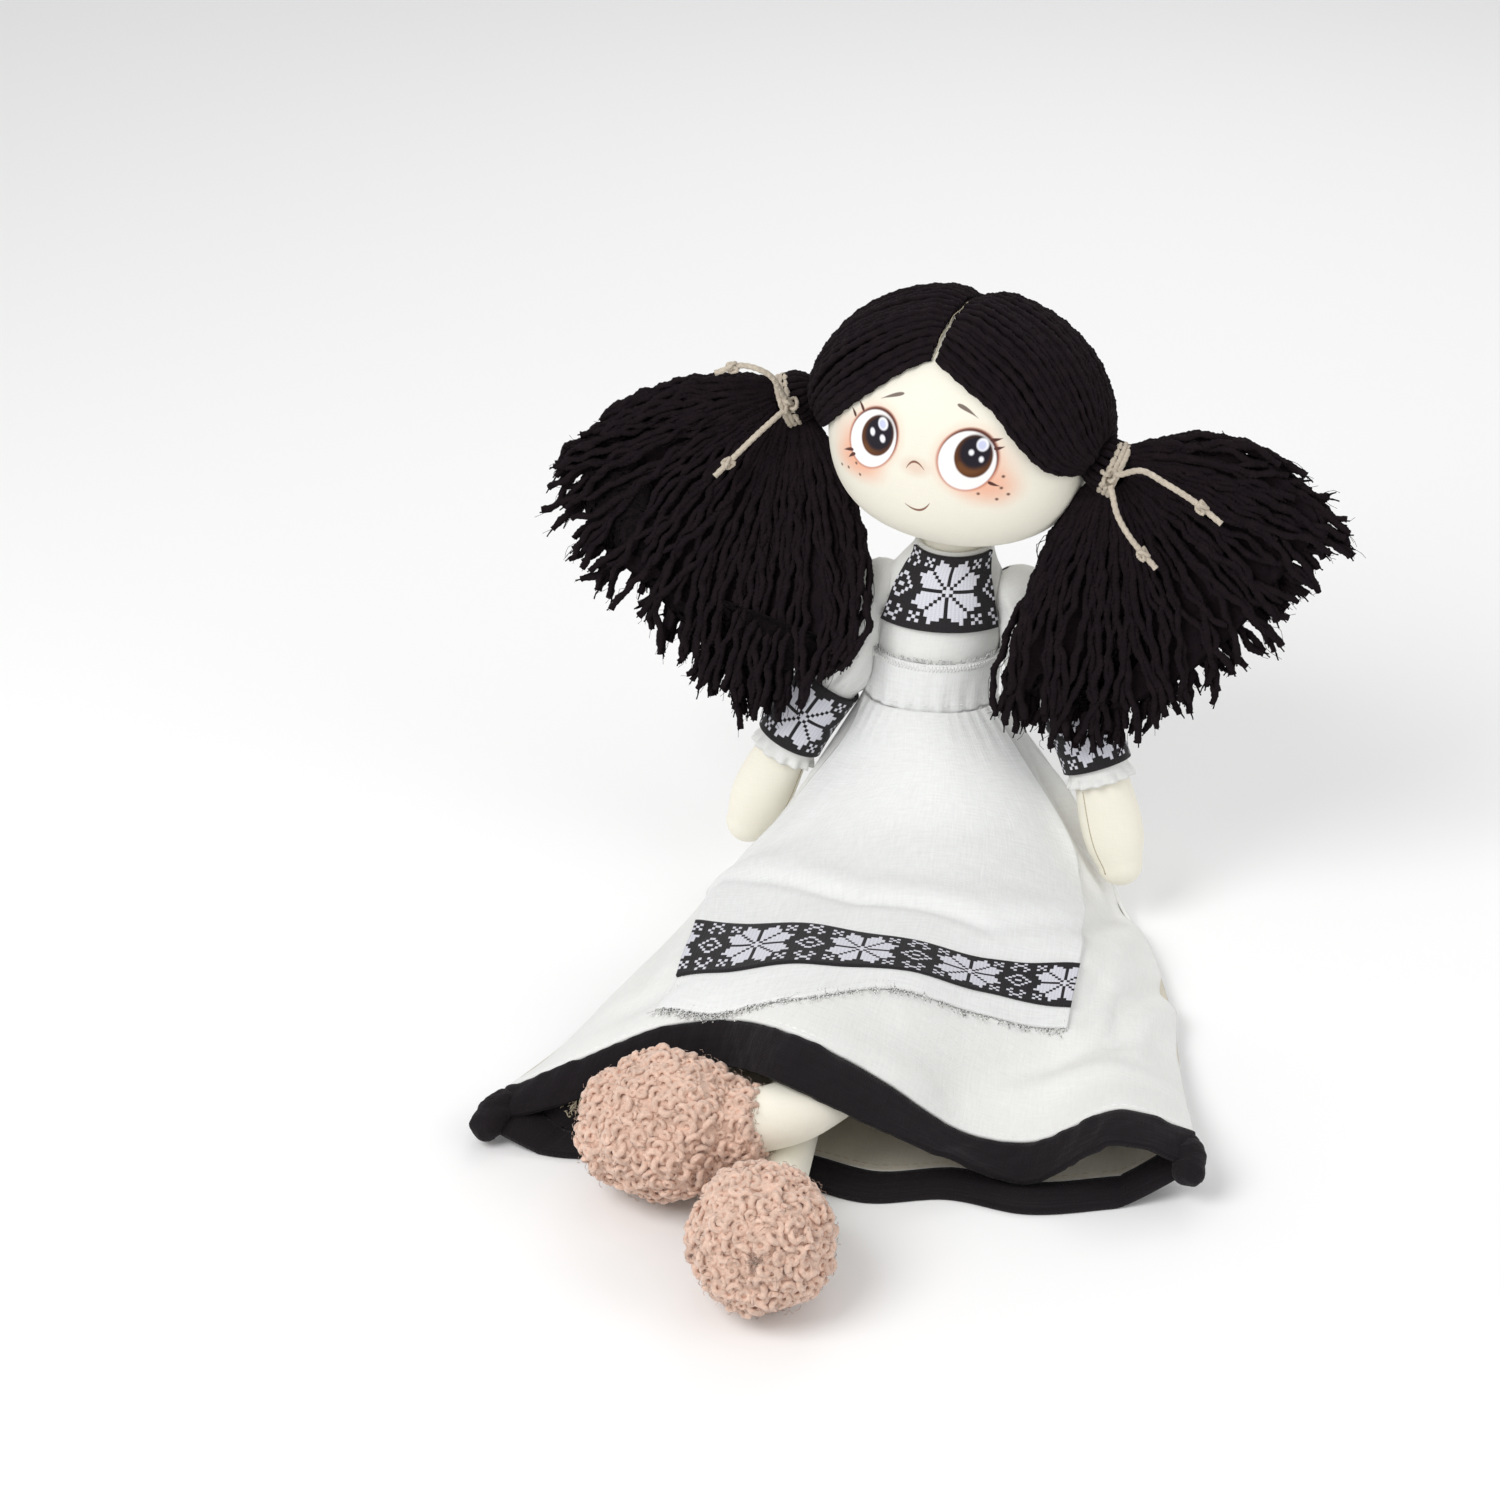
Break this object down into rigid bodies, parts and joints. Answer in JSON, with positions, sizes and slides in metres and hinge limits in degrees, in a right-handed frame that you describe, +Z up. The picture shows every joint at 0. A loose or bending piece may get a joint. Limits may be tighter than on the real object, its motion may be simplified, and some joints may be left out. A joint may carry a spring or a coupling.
{
  "type": "rag doll",
  "caption": "Seated stuffed cloth doll with yarn pigtails, a white linen dress and apron, woven ribbon trim and knitted booties.",
  "frame": {"origin": "on the floor under the middle of the seat", "axes": "+Z up along the seated body, -Y the way the doll faces and its legs point, +X the doll's own left"},
  "size_m": [0.2747, 0.3228, 0.223],
  "materials": {
    "doll_cloth": "plain cotton, stuffed",
    "yarn_hair": "thick acrylic yarn",
    "dress_linen": "white linen",
    "apron_linen": "white linen with a frayed hem",
    "star_ribbon": "woven ribbon",
    "hem_binding": "black cotton binding",
    "boucle_knit": "curly knitted yarn",
    "linen_twine": "waxed linen twine"
  },
  "bodies": {
    "dress_body": {"torso": "doll_cloth", "bodice": "dress_linen", "chest_ribbon": "star_ribbon", "apron_waistband": "apron_linen", "skirt_back": "dress_linen", "skirt_front": "dress_linen", "hem_band_back": "hem_binding", "hem_band_front": "hem_binding", "apron_panel": "apron_linen", "apron_ribbon": "star_ribbon"},
    "head": {"head": "doll_cloth", "hair_cap_left": "yarn_hair", "hair_cap_right": "yarn_hair"},
    "arm_left": {"arm_left": "doll_cloth", "sleeve_left": "dress_linen", "cuff_ribbon_left": "star_ribbon"},
    "arm_right": {"arm_right": "doll_cloth", "sleeve_right": "dress_linen", "cuff_ribbon_right": "star_ribbon"},
    "leg_left": {"leg_left": "doll_cloth", "bootie_left": "boucle_knit"},
    "leg_right": {"leg_right": "doll_cloth", "bootie_right": "boucle_knit"},
    "pigtail_left": {"pigtail_left": "yarn_hair", "tie_left": "linen_twine", "tie_tail_left_a": "linen_twine", "tie_tail_left_b": "linen_twine"},
    "pigtail_right": {"pigtail_right": "yarn_hair", "tie_right": "linen_twine", "tie_tail_right_a": "linen_twine", "tie_tail_right_b": "linen_twine"}
  },
  "joints": [
    {"name": "neck_nod", "type": "hinge", "parent": "dress_body", "child": "head", "pos_m": [0.005, 0.001, 0.141], "axis": [-1, 0, 0], "range_deg": [0, 18]},
    {"name": "shoulder_left", "type": "hinge", "parent": "dress_body", "child": "arm_left", "pos_m": [0.028, 0, 0.113], "axis": [0, -1, 0], "range_deg": [0, 20]},
    {"name": "shoulder_right", "type": "hinge", "parent": "dress_body", "child": "arm_right", "pos_m": [-0.021, 0, 0.111], "axis": [0, 1, 0], "range_deg": [0, 20]},
    {"name": "hip_right", "type": "hinge", "parent": "dress_body", "child": "leg_right", "pos_m": [-0.017, -0.014, 0.0155], "axis": [-1, 0, 0], "range_deg": [0, 35], "deforming": ["skirt_front", "hem_band_front", "apron_panel", "apron_ribbon"]},
    {"name": "hip_left", "type": "hinge", "parent": "dress_body", "child": "leg_left", "pos_m": [0.018, -0.014, 0.0155], "axis": [-1, 0, 0], "range_deg": [0, 35], "deforming": ["skirt_front", "hem_band_front", "apron_panel", "apron_ribbon"]},
    {"name": "pigtail_left_swing", "type": "hinge", "parent": "head", "child": "pigtail_left", "pos_m": [0.0565, -0.014, 0.172], "axis": [0, -1, 0], "range_deg": [0, 25]},
    {"name": "pigtail_right_swing", "type": "hinge", "parent": "head", "child": "pigtail_right", "pos_m": [-0.0535, 0.014, 0.176], "axis": [0, 1, 0], "range_deg": [0, 25]}
  ],
  "couplings": [
    {"joint": "hip_left", "follows": "hip_right", "ratio": 1}
  ]
}
